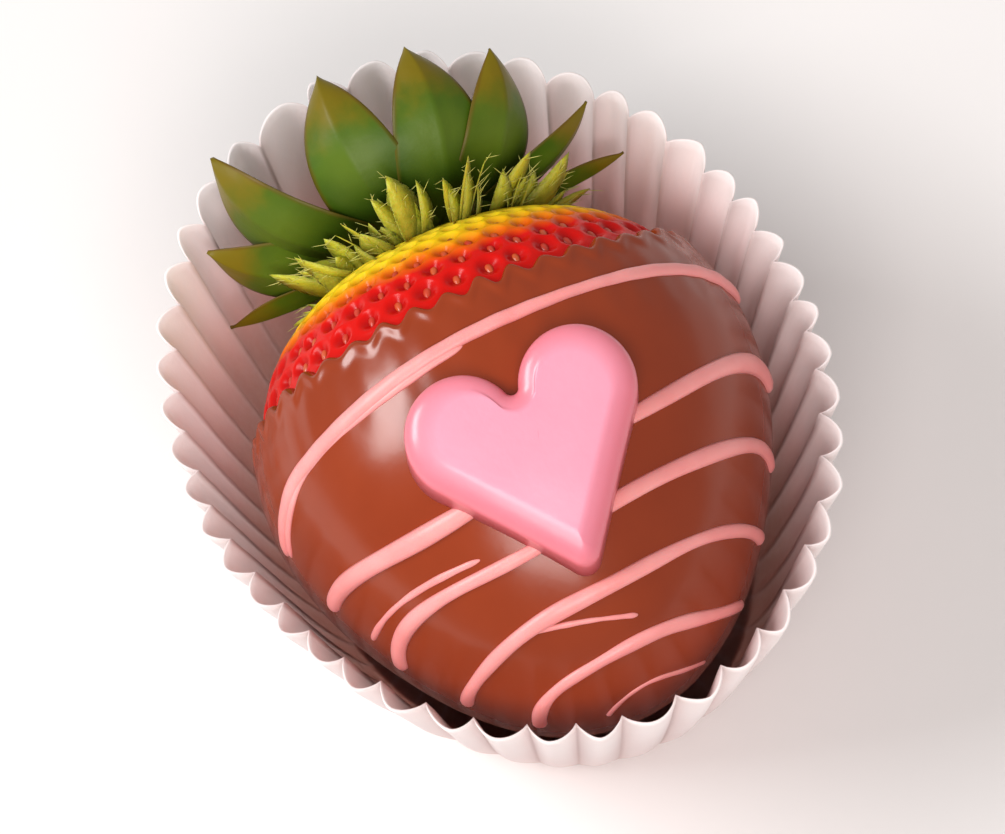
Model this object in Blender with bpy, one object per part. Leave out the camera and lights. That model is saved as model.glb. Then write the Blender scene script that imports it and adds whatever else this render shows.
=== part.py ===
"""A chocolate-coated strawberry lying on its side in a pleated paper case, with a candy heart on top.

Run with: blender --background --python part.py
Metres, +Z up. The origin is the centre of the case's flat base, where it meets the table. The case's long
way runs along Y, the strawberry's tip points towards -Y and its leaves towards +Y.
"""

import math

import bmesh
import bpy
from mathutils import Matrix, Vector

MM = 0.001
GAP = 0.3 * MM  # left between pieces that touch

# Paper case: an oval base and a pleated wall that flares out from it.
BASE_HALF_WIDTH = 18.5 * MM
BASE_HALF_LENGTH = 24.3 * MM
RIM_HALF_WIDTH = 26.9 * MM  # to the middle of the pleats
RIM_HALF_LENGTH = 32.9 * MM
CASE_HEIGHT = 27.0 * MM
PLEATS = 45
PLEAT_DEPTH = 2.0 * MM  # outer fold to inner fold, at the rim
FOLD_HALF = 0.15  # half the width of a fold's crest, as a share of one pleat
CASE_WALL = 0.45 * MM
WALL_STEPS = 3
WALL_BULGE = 0.8  # 1 is a straight wall; less lets it round out over the base

# The coated strawberry in its own frame: stem end towards +Y, heart side towards +Z, and the origin on its
# axis at the widest section. The flesh is the same shape, smaller by the coat's thickness.
COATED_HALF_WIDTH = 22.1 * MM
COATED_HALF_DEPTH = 20.0 * MM
TIP_LENGTH = 27.1 * MM
SHOULDER_LENGTH = 19.5 * MM
TIP_TAPER = (2.05, -1.7, 0.65)  # of the square, cube and fourth power of the way to the tip
SHOULDER_TAPER = (0.6, 0.0, 0.4)
HOLLOW_RADIUS = 8.0 * MM  # the hollow that the leaves grow from
HOLLOW_DEPTH = 1.0 * MM
COAT_THICKNESS = 1.3 * MM
COAT_LIP = 0.6 * MM  # at the edge of the coat
CORNERS = 42  # round the flesh and the coat
FLESH_RINGS = 18
COAT_RINGS = 14
DIP_ANGLE = 115.0  # degrees from the tip to the edge of the chocolate
DIP_SLANT = 3.5  # degrees that the dip line leans, so more flesh shows on the left
DIP_WAVE = 1.2

# How the strawberry lies in the case.
TIP_DOWN = 7.0  # degrees
TURNED = -8.0  # degrees about the vertical
LIES_AT = (-0.1 * MM, -1.5 * MM)

# Candy heart, a flat moulded piece with rounded edges. Its underside follows the coat.
LOBE_RADIUS = 4.95 * MM
LOBE_OFFSET = 5.2 * MM
NOTCH_RADIUS = 0.6 * MM
POINT_RADIUS = 1.5 * MM
POINT_DROP = 11.9 * MM  # from the middle of the lobes to the middle of the point's curve
HEART_THICKNESS = 2.0 * MM  # at its middle
HEART_ROUND = 1.5 * MM
HEART_AT = (-0.4 * MM, -4.8 * MM)
HEART_TILT = 15.0  # degrees, to lie along the slope of the coat
HEART_TURN = 3.0  # degrees

# Leaves: a flat star of small bracts against the berry, and behind it the big leaves round one hub, with the
# trimmed stem.
BRACTS = 26
BRACT_ROOT_RADIUS = 8.6 * MM
BRACT_REACH = 13.0 * MM
BRACT_THICKNESS = 0.5 * MM
BRACTS_AT_Y = 17.8 * MM  # of the star's side against the berry, along the strawberry
HUB_RADIUS = 6.5 * MM
HUB_THICKNESS = 1.0 * MM
STEM_RADIUS = 1.3 * MM
STEM_LENGTH = 3.0 * MM
LEAF_ROOT_RADIUS = 4.0 * MM
LEAF_THICKNESS = 0.6 * MM
LEAF_STAGGER = 0.13 * MM  # neighbouring leaves lie this much higher or lower on the hub
LEAF_STEPS = 6
# One row for each leaf: its angle round the stem in degrees, from the strawberry's right side over the top,
# its length and width in millimetres, and how far it has bent back from the berry at its tip, in degrees.
LEAVES = (
    (2, 14.3, 4.6, 6),
    (23, 14.5, 5.6, 32),
    (48, 16.2, 7.8, 84),
    (75, 18.0, 8.4, 110),
    (110, 18.5, 8.4, 112),
    (152, 18.5, 8.4, 84),
    (172, 15.5, 7.4, 44),
    (193, 14.8, 4.8, 4),
    (222, 13.0, 6.0, 30),
    (254, 12.5, 6.2, 50),
    (288, 12.5, 6.2, 50),
    (325, 11.8, 6.0, 34),
)


def clear_scene():
    for obj in list(bpy.data.objects):
        bpy.data.objects.remove(obj)


def material(name, colour, roughness):
    made = bpy.data.materials.new(name)
    made.use_nodes = True
    shader = made.node_tree.nodes["Principled BSDF"]
    shader.inputs["Base Color"].default_value = (*colour, 1)
    shader.inputs["Roughness"].default_value = roughness
    shader.inputs["Metallic"].default_value = 0
    made.diffuse_color = (*colour, 1)
    return made


def mesh_object(name, surface, build):
    """An object whose mesh the function build fills in."""
    made = bmesh.new()
    build(made)
    bmesh.ops.recalc_face_normals(made, faces=made.faces)
    mesh = bpy.data.meshes.new(name)
    made.to_mesh(mesh)
    made.free()
    mesh.shade_smooth()
    mesh.set_sharp_from_angle(angle=math.radians(40))
    mesh.materials.append(surface)
    obj = bpy.data.objects.new(name, mesh)
    bpy.context.scene.collection.objects.link(obj)
    return obj


def skin_rings(made, rings, start, end):
    """Joins rings of equally many points with quads, and closes both ends with a fan to a point."""
    loops = [[made.verts.new(point) for point in ring] for ring in rings]
    count = len(loops[0])
    for low, high in zip(loops, loops[1:]):
        for i in range(count):
            j = (i + 1) % count
            made.faces.new((low[i], low[j], high[j], high[i]))
    for loop, point in ((loops[0], start), (loops[-1], end)):
        centre = made.verts.new(point)
        for i in range(count):
            made.faces.new((loop[i], loop[(i + 1) % count], centre))


# ---- Paper case


def oval_radius(half_width, half_length, angle):
    return half_width * half_length / math.hypot(half_length * math.cos(angle), half_width * math.sin(angle))


def case_ring(height, inward):
    """One ring of the pleated wall, that far in from its outer face. Each pleat has two corners at its outer
    fold and two at its inner fold, and the folds deepen from nothing at the base."""
    share = height / CASE_HEIGHT
    ring = []
    for pleat in range(PLEATS):
        for place, side in (
            (-FOLD_HALF, 1),
            (FOLD_HALF, 1),
            (0.5 - FOLD_HALF, -1),
            (0.5 + FOLD_HALF, -1),
        ):
            angle = 2 * math.pi * (pleat + place) / PLEATS
            base = oval_radius(BASE_HALF_WIDTH, BASE_HALF_LENGTH, angle)
            rim = oval_radius(RIM_HALF_WIDTH, RIM_HALF_LENGTH, angle)
            middle = base + (rim - base) * share**WALL_BULGE
            radius = middle + side * PLEAT_DEPTH / 2 * share**0.7 - inward
            ring.append((radius * math.cos(angle), radius * math.sin(angle), height))
    return ring


def build_case(made):
    heights = [CASE_HEIGHT * step / WALL_STEPS for step in range(WALL_STEPS + 1)]
    outer = [case_ring(height, 0) for height in heights]
    inner = [case_ring(height, CASE_WALL) for height in (*reversed(heights[1:]), CASE_WALL)]
    skin_rings(made, outer + inner, start=(0, 0, 0), end=(0, 0, CASE_WALL))


# ---- Strawberry and its coat


def taper(factors, way):
    """The half-width that is left, as a share of the widest, part of the way from there to an end."""
    square, cube, fourth = factors
    return math.sqrt(max(1 - square * way**2 - cube * way**3 - fourth * way**4, 0))


def coated_point(turn, around, inward):
    """A point that far in from the coated berry's outer surface. turn runs from 0 at the tip to 180 at the
    stem and around is the angle round the axis, from +X over +Z, both in degrees."""
    reach = math.cos(math.radians(turn))
    if reach > 0:
        along = -reach * (TIP_LENGTH - inward)
        share = taper(TIP_TAPER, reach)
    else:
        along = -reach * (SHOULDER_LENGTH - inward)
        share = taper(SHOULDER_TAPER, -reach)
    across = (COATED_HALF_WIDTH - inward) * share * math.cos(math.radians(around))
    up = (COATED_HALF_DEPTH - inward) * share * math.sin(math.radians(around))
    if reach < 0:
        hollow = min(math.hypot(across, up) / HOLLOW_RADIUS, 1)
        along -= HOLLOW_DEPTH * (1 - hollow**2) ** 2
    return Vector((across, along, up))


def angles_around():
    return [360 * i / CORNERS for i in range(CORNERS)]


def build_flesh(made):
    rings = []
    for step in range(1, FLESH_RINGS):
        turn = 180 * step / FLESH_RINGS
        rings.append([coated_point(turn, around, COAT_THICKNESS) for around in angles_around()])
    start = coated_point(0, 0, COAT_THICKNESS)
    end = coated_point(180, 0, COAT_THICKNESS)
    skin_rings(made, rings, start, end)


def dip_angle(around):
    """The turn at which the chocolate ends, in degrees."""
    slant = DIP_SLANT * math.cos(math.radians(around))
    wave = DIP_WAVE * math.sin(math.radians(3 * around + 35))
    return DIP_ANGLE + slant + wave


def coat_ring(share, inside):
    """A ring of the coat part of the way from the tip to its edge. The coat thins towards the edge."""
    ring = []
    for around in angles_around():
        edge = dip_angle(around)
        turn = edge * share
        if inside:
            inward = COAT_THICKNESS - GAP
        else:
            thinned = min((edge - turn) / 25, 1)
            inward = (COAT_THICKNESS - COAT_LIP) * (1 - thinned)
        ring.append(coated_point(turn, around, inward))
    return ring


def build_coat(made):
    shares = [step / COAT_RINGS for step in range(1, COAT_RINGS + 1)]
    outside = [coat_ring(share, False) for share in shares]
    inside = [coat_ring(share, True) for share in reversed(shares)]
    start = coated_point(0, 0, 0)
    end = coated_point(0, 0, COAT_THICKNESS - GAP)
    skin_rings(made, outside + inside, start, end)


def coat_height(x, y):
    """The height of the coat's upper side over a point of the berry's own XY plane."""
    if y < 0:
        share = taper(TIP_TAPER, -y / TIP_LENGTH)
    else:
        share = taper(SHOULDER_TAPER, y / SHOULDER_LENGTH)
    return COATED_HALF_DEPTH * math.sqrt(share**2 - (x / COATED_HALF_WIDTH) ** 2)


# ---- Candy heart


def arc(centre, radius, start, end, steps):
    """Points on an arc from one angle up to, but not at, the other, in degrees."""
    angles = [math.radians(start + (end - start) * i / steps) for i in range(steps)]
    return [centre + radius * Vector((math.cos(angle), math.sin(angle))) for angle in angles]


def heart_outline(inset):
    """The heart's outline that far in from its edge, from the notch down its right side to the point and
    back up its left side. A small curve rounds the notch, and a wider one the point."""
    notch_y = math.sqrt((LOBE_RADIUS + NOTCH_RADIUS) ** 2 - LOBE_OFFSET**2)
    notch_angle = math.degrees(math.atan2(notch_y, LOBE_OFFSET))
    reach = math.hypot(LOBE_OFFSET, POINT_DROP)
    bearing = math.degrees(math.atan2(POINT_DROP, LOBE_OFFSET))
    side_angle = math.degrees(math.acos((LOBE_RADIUS - POINT_RADIUS) / reach)) + bearing - 180
    notch = arc(Vector((0, notch_y)), NOTCH_RADIUS + inset, -90, -notch_angle, 2)
    lobe = arc(Vector((LOBE_OFFSET, 0)), LOBE_RADIUS - inset, 180 - notch_angle, side_angle, 9)
    point = arc(Vector((0, -POINT_DROP)), POINT_RADIUS - inset, side_angle, -90, 3)
    side_start = Vector((LOBE_OFFSET, 0)) + (LOBE_RADIUS - inset) * direction(side_angle)
    side = [side_start.lerp(point[0], i / 3) for i in range(3)]
    right = notch + lobe + side + point
    lowest = Vector((0, -POINT_DROP - POINT_RADIUS + inset))
    left = [Vector((-at.x, at.y)) for at in reversed(right[1:])]
    return [*right, lowest, *left]


def direction(angle):
    return Vector((math.cos(math.radians(angle)), math.sin(math.radians(angle))))


def build_heart(made):
    """Rings from the middle of the underside out, up the side, over the rounded edge and in over the top."""
    edge = heart_outline(0)
    middle = Vector((0, -0.3 * POINT_DROP))
    slope = math.tan(math.radians(HEART_TILT))

    def place(at):
        turned = at.copy()
        turned.rotate(Matrix.Rotation(math.radians(HEART_TURN), 2))
        return turned + Vector(HEART_AT)

    def under(at, raised=0):
        placed = place(at)
        return (*placed, coat_height(*placed) + GAP + raised)

    top = coat_height(*place(middle)) + GAP + HEART_THICKNESS

    def over(at, lowered=0):
        placed = place(at)
        return (*placed, top + (placed.y - place(middle).y) * slope - lowered)

    underside = heart_outline(0.3 * MM)
    rings = [[under(middle.lerp(at, share)) for at in underside] for share in (0.35, 0.7, 1)]
    rings.append([under(at, 0.3 * MM) for at in edge])
    for step in range(4):
        angle = math.radians(30 * step)
        inset = HEART_ROUND * (1 - math.cos(angle))
        lowered = HEART_ROUND * (1 - math.sin(angle))
        rings.append([over(at, lowered) for at in heart_outline(inset)])
    flat = heart_outline(HEART_ROUND)
    rings.append([over(middle.lerp(at, 0.5)) for at in flat])
    skin_rings(made, rings, start=under(middle), end=over(middle))


# ---- Leaves


def build_bracts(made):
    """A flat star with one point for each bract."""
    outline = []
    for corner in range(2 * BRACTS):
        radius = BRACT_REACH if corner % 2 else BRACT_ROOT_RADIUS
        outline.append(radius * direction(180 * corner / BRACTS))
    near = [(at.x, BRACTS_AT_Y, at.y) for at in outline]
    far = [(at.x, BRACTS_AT_Y + BRACT_THICKNESS, at.y) for at in outline]
    start = (0, BRACTS_AT_Y, 0)
    end = (0, BRACTS_AT_Y + BRACT_THICKNESS, 0)
    skin_rings(made, [near, far], start, end)


def disc_rings(radius, start_y, end_y, sides=24):
    corners = [radius * direction(360 * i / sides) for i in range(sides)]
    return [[(at.x, y, at.y) for at in corners] for y in (start_y, end_y)]


def build_hub(made):
    near_y = BRACTS_AT_Y + BRACT_THICKNESS + GAP
    far_y = near_y + HUB_THICKNESS
    stem_y = far_y + STEM_LENGTH
    rings = disc_rings(HUB_RADIUS, near_y, far_y) + disc_rings(STEM_RADIUS, far_y, stem_y)
    skin_rings(made, rings, start=(0, near_y, 0), end=(0, stem_y, 0))


def leaf_ring(way, around, length, width, bend, root_y):
    """One cross-section of a leaf, part of the way along it. The leaf leaves the hub flat and bends back
    evenly, is widest at two fifths of its length, and is cupped along its middle."""
    angle = math.radians(bend) * way
    turned = math.radians(bend)
    radial = Vector((math.cos(math.radians(around)), 0, math.sin(math.radians(around))))
    back = Vector((0, 1, 0))
    out = LEAF_ROOT_RADIUS + length * math.sin(angle) / turned
    rise = root_y + length * (1 - math.cos(angle)) / turned
    middle = radial * out + back * rise
    facing = back * math.cos(angle) - radial * math.sin(angle)
    side = radial.cross(back)
    half_width = width / 2 * math.sin(math.pi * (0.2 + 0.77 * way)) ** 0.8
    half_thick = LEAF_THICKNESS / 2 * (1 - 0.4 * way)
    cup = 0.25 * half_width * way
    ring = []
    for across, sunk, face in ((-1, 0, 1), (0, cup, 1), (1, 0, 1), (1, 0, -1), (0, cup, -1), (-1, 0, -1)):
        ring.append(middle + side * half_width * across + facing * (half_thick * face - sunk))
    return ring


def add_leaf(number, surface):
    around, length, width, bend = LEAVES[number]
    middle_y = BRACTS_AT_Y + BRACT_THICKNESS + GAP + HUB_THICKNESS / 2
    root_y = middle_y + (number % 3 - 1) * LEAF_STAGGER

    def build(made):
        rings = []
        for step in range(LEAF_STEPS + 1):
            rings.append(leaf_ring(step / LEAF_STEPS, around, length * MM, width * MM, bend, root_y))
        start = sum(rings[0], Vector()) / 6
        end = sum(rings[-1], Vector()) / 6
        skin_rings(made, rings, start, end)

    return mesh_object(f"leaf_{number + 1}", surface, build)


def build_leaves(surface):
    """The hub and the stem, with every leaf joined on. The single leaves stay as hidden wire shapes."""
    hub = mesh_object("leaves", surface, build_hub)
    single = [add_leaf(number, surface) for number in range(len(LEAVES))]
    for leaf in single:
        leaf.hide_render = True
        leaf.display_type = "WIRE"
        join = hub.modifiers.new(f"join_{leaf.name}", "BOOLEAN")
        join.operation = "UNION"
        join.solver = "EXACT"
        join.object = leaf
    return [hub, *single]


def lie_down(strawberry, coat):
    """Tilts and turns the strawberry, and rests its coat on the floor of the case."""
    strawberry.rotation_euler = (math.radians(TIP_DOWN), 0, math.radians(TURNED))
    turn = strawberry.rotation_euler.to_matrix()
    lowest = min((turn @ vertex.co).z for vertex in coat.data.vertices)
    strawberry.location = (*LIES_AT, CASE_WALL + GAP - lowest)


def main():
    clear_scene()
    paper = material("case_paper", (0.88, 0.8, 0.78), 0.75)
    red = material("strawberry_flesh", (0.72, 0.03, 0.02), 0.35)
    chocolate = material("milk_chocolate", (0.3, 0.08, 0.04), 0.35)
    pink = material("pink_candy", (0.95, 0.45, 0.55), 0.4)
    young_green = material("bract_green", (0.3, 0.3, 0.03), 0.55)
    green = material("leaf_green", (0.1, 0.17, 0.04), 0.6)
    mesh_object("paper_case", paper, build_case)
    coat = mesh_object("chocolate_coat", chocolate, build_coat)
    strawberry = bpy.data.objects.new("strawberry", None)
    bpy.context.scene.collection.objects.link(strawberry)
    pieces = [
        mesh_object("strawberry_flesh", red, build_flesh),
        coat,
        mesh_object("candy_heart", pink, build_heart),
        mesh_object("bracts", young_green, build_bracts),
        *build_leaves(green),
    ]
    for piece in pieces:
        piece.parent = strawberry
    lie_down(strawberry, coat)


main()
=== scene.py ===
"""The looks of a chocolate-coated strawberry in its pleated paper case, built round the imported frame.

Metres, +Z up. The strawberry lies on its side with its tip towards -Y and its leaves towards +Y. Its
pieces are made in the strawberry's own frame: stem end towards +Y, heart side towards +Z, and the origin on
its axis at the widest section.
"""

import math
import random

import bmesh
import bpy
import numpy as np
from mathutils import Euler, Matrix, Quaternion, Vector, noise


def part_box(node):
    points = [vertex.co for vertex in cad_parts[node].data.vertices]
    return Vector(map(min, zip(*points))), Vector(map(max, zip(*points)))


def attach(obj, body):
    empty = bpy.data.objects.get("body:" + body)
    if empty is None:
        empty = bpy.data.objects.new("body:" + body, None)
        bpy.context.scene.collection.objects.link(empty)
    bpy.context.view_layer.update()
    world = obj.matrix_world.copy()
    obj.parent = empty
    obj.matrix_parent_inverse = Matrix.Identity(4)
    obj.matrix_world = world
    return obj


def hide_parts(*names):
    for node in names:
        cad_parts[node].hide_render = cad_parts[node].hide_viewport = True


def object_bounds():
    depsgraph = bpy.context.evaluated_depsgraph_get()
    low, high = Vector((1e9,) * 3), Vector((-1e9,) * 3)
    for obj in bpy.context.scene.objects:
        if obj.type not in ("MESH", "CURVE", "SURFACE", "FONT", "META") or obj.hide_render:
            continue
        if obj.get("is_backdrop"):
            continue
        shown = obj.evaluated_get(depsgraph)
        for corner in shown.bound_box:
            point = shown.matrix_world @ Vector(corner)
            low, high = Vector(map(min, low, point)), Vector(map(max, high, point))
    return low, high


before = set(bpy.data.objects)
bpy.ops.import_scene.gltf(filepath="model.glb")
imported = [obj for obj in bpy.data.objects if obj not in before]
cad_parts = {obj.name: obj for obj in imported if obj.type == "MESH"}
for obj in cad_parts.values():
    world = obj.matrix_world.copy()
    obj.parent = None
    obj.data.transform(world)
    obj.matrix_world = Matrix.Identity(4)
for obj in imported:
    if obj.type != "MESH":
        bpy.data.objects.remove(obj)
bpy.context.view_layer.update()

# ---- Strawberry
# A ripe berry, washed and dried before dipping. Its thin skin is red, and fades through orange to yellow
# where the leaves shaded it. The skin puffs up between the seeds, so that each lies in a soft-rimmed pit;
# the pits are painted darker red as painted shade.

MM = 0.001
HALF_WIDTH = 20.8 * MM
HALF_DEPTH = 18.7 * MM
TIP_LENGTH = 25.8 * MM  # from the widest section
SHOULDER_LENGTH = 18.2 * MM
TIP_TAPER = (2.05, -1.7, 0.65)  # of the square, cube and fourth power of the way to the tip
SHOULDER_TAPER = (0.6, 0.0, 0.4)
HOLLOW_RADIUS = 8.0 * MM  # the hollow that the leaves grow from
HOLLOW_DEPTH = 1.0 * MM
TIP_DOWN = 7.0  # degrees, as the strawberry lies in its case
TURNED = -8.0
LYING = Euler((math.radians(TIP_DOWN), 0, math.radians(TURNED))).to_matrix()


def taper(factors, way):
    """The half-width that is left, as a share of the widest, part of the way from there to an end."""
    square, cube, fourth = factors
    return np.sqrt(np.maximum(1 - square * way**2 - cube * way**3 - fourth * way**4, 0))


def on_berry(turn, around, outward=0.0):
    """Points that far out from the berry's skin. turn runs from 0 at the tip to 180 at the stem, and around
    is the angle round the axis, from +X over +Z, both in degrees."""
    turn, around, outward = np.broadcast_arrays(*np.atleast_1d(turn, around, outward))
    reach = np.cos(np.radians(turn))
    way = np.abs(reach)
    share = np.where(reach > 0, taper(TIP_TAPER, way), taper(SHOULDER_TAPER, way))
    across = (HALF_WIDTH + outward) * share * np.cos(np.radians(around))
    up = (HALF_DEPTH + outward) * share * np.sin(np.radians(around))
    hollow = np.minimum(np.hypot(across, up) / HOLLOW_RADIUS, 1)
    sunk = np.where(reach > 0, 0, HOLLOW_DEPTH * (1 - hollow**2) ** 2)
    along = np.where(reach > 0, -way * (TIP_LENGTH + outward), way * (SHOULDER_LENGTH + outward) - sunk)
    return np.stack([across, along, up], axis=-1)


def straight_out(turn, around, step=0.05):
    """The direction straight out of the skin at these places."""
    turn, around = np.broadcast_arrays(*np.atleast_1d(turn, around))
    stemward = on_berry(turn + step, around) - on_berry(turn - step, around)
    sideways = on_berry(turn, around + step) - on_berry(turn, around - step)
    out = np.cross(stemward, sideways)
    return out / np.linalg.norm(out, axis=-1, keepdims=True)


def settle():
    """Where the strawberry's origin lies: its own box, once turned, has the same middle as its CAD node."""
    turn, around = np.meshgrid(np.arange(1, 180, 2.0), np.arange(0, 360, 3.0))
    turned = on_berry(turn, around).reshape(-1, 3) @ np.array(LYING).T
    low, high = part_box("strawberry_flesh")
    return (low + high) / 2 - Vector((turned.min(0) + turned.max(0)) / 2)


BERRY_AT = settle()


def lay_down(piece):
    """Turns a mesh that was made in the strawberry's own frame to where the strawberry lies."""
    piece.data.transform(Matrix.Translation(BERRY_AT) @ LYING.to_4x4())


class Wire:
    """A socket in a material's nodes. Sums written with it add the nodes that work them out."""

    def __init__(self, finish, socket):
        self.finish = finish
        self.socket = socket

    def worked(self, operation, first, second):
        vectors = self.socket.type in ("VECTOR", "RGBA")
        kind = "ShaderNodeVectorMath" if vectors else "ShaderNodeMath"
        return self.finish.node(kind, {"operation": operation}, {0: first, 1: second})

    def __add__(self, other):
        return self.worked("ADD", self, other)

    def __radd__(self, other):
        return self.worked("ADD", other, self)

    def __sub__(self, other):
        return self.worked("SUBTRACT", self, other)

    def __rsub__(self, other):
        return self.worked("SUBTRACT", other, self)

    def __mul__(self, other):
        return self.worked("MULTIPLY", self, other)

    def __rmul__(self, other):
        return self.worked("MULTIPLY", other, self)


class Finish:
    """The material of a piece: one Principled shader. settings holds what is the same all over it."""

    def __init__(self, name, settings):
        self.material = bpy.data.materials.new(name)
        self.material.use_nodes = True
        self.tree = self.material.node_tree
        self.shader = self.tree.nodes["Principled BSDF"]
        for socket, value in settings.items():
            self.shader.inputs[socket].default_value = value
        self.place = self.node("ShaderNodeTexCoord", output="Object")

    def node(self, kind, settings=None, sockets=None, output=0):
        """Adds a node. Its settings are made first, then its sockets are given numbers or wires."""
        made = self.tree.nodes.new(kind)
        for name, value in (settings or {}).items():
            if name == "stops":
                self.set_stops(made.color_ramp, value)
            else:
                setattr(made, name, value)
        for name, value in (sockets or {}).items():
            if isinstance(value, Wire):
                self.tree.links.new(value.socket, made.inputs[name])
            else:
                made.inputs[name].default_value = value
        return Wire(self, made.outputs[output])

    def set_stops(self, ramp, stops):
        while len(ramp.elements) < len(stops):
            ramp.elements.new(1)
        for element, (position, colour) in zip(ramp.elements, stops):
            element.position = position
            element.color = (*colour, 1)

    def number(self, name):
        """A number that was worked out for every point of the mesh."""
        return self.node("ShaderNodeAttribute", {"attribute_name": name}, output="Fac")

    def grain(self, size, detail=2.0, stretch=(1, 1, 1)):
        """Soft noise about 0.5, whose blotches are about that size."""
        sockets = {"Vector": self.place * tuple(stretch), "Scale": 1 / size, "Detail": detail}
        return self.node("ShaderNodeTexNoise", sockets=sockets)

    def rise(self, value, start, end):
        """0 up to start and 1 from end on, with a smooth rise between them."""
        sockets = {"Value": value, "From Min": start, "From Max": end}
        return self.node("ShaderNodeMapRange", {"interpolation_type": "SMOOTHSTEP"}, sockets)

    def blend(self, share, one, other):
        """A colour that goes from one to the other as share goes from 0 to 1."""
        colours = [given if isinstance(given, Wire) else (*given, 1) for given in (one, other)]
        sockets = {0: share, 6: colours[0], 7: colours[1]}
        return self.node("ShaderNodeMix", {"data_type": "RGBA"}, sockets, output=2)

    def feed(self, socket, wire):
        self.tree.links.new(wire.socket, self.shader.inputs[socket])

    def relief(self, height, depth, strength=1.0):
        """Bumps of that depth in metres, where height goes from 0 to 1."""
        sockets = {"Height": height, "Distance": depth, "Strength": strength}
        self.feed("Normal", self.node("ShaderNodeBump", sockets=sockets))


def closed_rings(rings, start=None, end=None):
    """Points and faces of a closed skin over rings of equally many points, with a point at each end."""
    rings = np.asarray(rings)
    rows, columns = rings.shape[:2]
    start = rings[0].mean(0) if start is None else start
    end = rings[-1].mean(0) if end is None else end
    points = np.concatenate([rings.reshape(-1, 3), [start, end]])
    here = np.arange(rows * columns).reshape(rows, columns)
    beside = np.roll(here, -1, axis=1)
    faces = np.stack([here[:-1], beside[:-1], beside[1:], here[1:]], axis=-1).reshape(-1, 4).tolist()
    for row, tip in ((0, rows * columns), (-1, rows * columns + 1)):
        faces += [(int(a), int(b), tip) for a, b in zip(here[row], beside[row])]
    return points, faces


def joined(parts):
    """The points and faces of several skins as one."""
    points, faces, count = [], [], 0
    for part_points, part_faces in parts:
        points.append(part_points)
        faces += [tuple(corner + count for corner in face) for face in part_faces]
        count += len(part_points)
    return np.concatenate(points), faces


def make_piece(name, skin, finish, **numbers):
    """A smooth mesh piece with outward faces. numbers holds values for its points, for its finish."""
    points, faces = skin
    mesh = bpy.data.meshes.new(name)
    mesh.from_pydata(points.tolist(), [], faces)
    made = bmesh.new()
    made.from_mesh(mesh)
    bmesh.ops.recalc_face_normals(made, faces=made.faces)
    made.to_mesh(mesh)
    made.free()
    for key, values in numbers.items():
        attribute = mesh.attributes.new(key, "FLOAT", "POINT")
        attribute.data.foreach_set("value", np.asarray(values, np.float32))
    mesh.shade_smooth()
    mesh.materials.append(finish.material)
    piece = bpy.data.objects.new(name, mesh)
    bpy.context.scene.collection.objects.link(piece)
    return piece


DIP_ANGLE = 115.0  # the turn at which the chocolate ends
DIP_SLANT = 3.5
DIP_WAVE = 1.2
DIP_WAVES = 3  # round the berry
DIP_WAVE_START = 35
SEEDS_AROUND = 43  # in the first row
SEED_ROWS = (6.0, 13.0, 19.5, 25.5, 31.0, 36.0)  # degrees of turn from the chocolate's edge
ROW_SHRINK = 0.07  # how much smaller the seeds get from row to row
SEED_JITTER = 0.2 * MM
SEED_SIZES = (0.92, 1.08)
PIT_RADIUS = 0.8 * MM
PIT_DEPTH = 0.62 * MM
PIT_RIM = 0.10 * MM
RIM_AT = 1.45  # in pit radii
RIM_BREADTH = 0.4
PIT_REACH = 3 * MM  # from a seed, beyond which its pit isn't felt
PUFF = 0.16 * MM
PUFFS_FROM = -3  # degrees of turn from the chocolate's edge
PUFFS_OVER = 2
SKIN_COLUMNS = 520
SKIN_ROWS = ((3, 108, 4.5), (108, 154, 0.45), (154, 179, 2.0))  # turns from and to, and their step


def dip_angle(around):
    """The turn at which the chocolate ends, on average, in degrees."""
    waves = np.radians(DIP_WAVES * np.asarray(around) + DIP_WAVE_START)
    return DIP_ANGLE + DIP_SLANT * np.cos(np.radians(around)) + DIP_WAVE * np.sin(waves)


def scatter_seeds():
    """One row of numbers for each seed: its turn, its angle round the berry, and its size. Rows are
    staggered, and seeds get smaller and closer towards the leaves."""
    chance = random.Random(4)
    seeds = []
    for row, further in enumerate(SEED_ROWS):
        size = 1 - ROW_SHRINK * row
        radius = float(np.hypot(*on_berry(DIP_ANGLE + further, 45)[0][[0, 2]]))
        if row == 0:
            first = radius
        count = round(SEEDS_AROUND * radius / first / size)
        jitter = math.degrees(SEED_JITTER * size / radius)
        for place in range(count):
            around = 360 * (place + 0.5 * (row % 2)) / count
            lean = float(dip_angle(around)) - DIP_ANGLE
            turn = DIP_ANGLE + further + lean * (1 - row / len(SEED_ROWS)) + chance.uniform(-jitter, jitter)
            around += chance.uniform(-jitter, jitter)
            seeds.append((turn, around, size * chance.uniform(*SEED_SIZES)))
    return np.array(seeds)


seeds = scatter_seeds()
seed_points = on_berry(seeds[:, 0], seeds[:, 1])


def skin_depth(points, edge_gap):
    """How far the skin stands out at these points, and how deep in a pit they lie, from 0 to 1. edge_gap is
    the turn beyond the chocolate's edge; under the coat, below 0, the skin is smooth."""
    distance = np.full(len(points), 1.0)
    for at, size in zip(seed_points, seeds[:, 2]):
        near = np.abs(points - at).max(1) < PIT_REACH
        away = np.linalg.norm(points[near] - at, axis=1) / size
        distance[near] = np.minimum(distance[near], away)
    pit = np.exp(-((distance / PIT_RADIUS) ** 2))
    rim = np.exp(-(((distance - RIM_AT * PIT_RADIUS) / (RIM_BREADTH * PIT_RADIUS)) ** 2))
    bare = np.clip((edge_gap - PUFFS_FROM) / PUFFS_OVER, 0, 1)
    return bare * (PUFF - PIT_DEPTH * pit + PIT_RIM * rim), bare * pit


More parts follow.
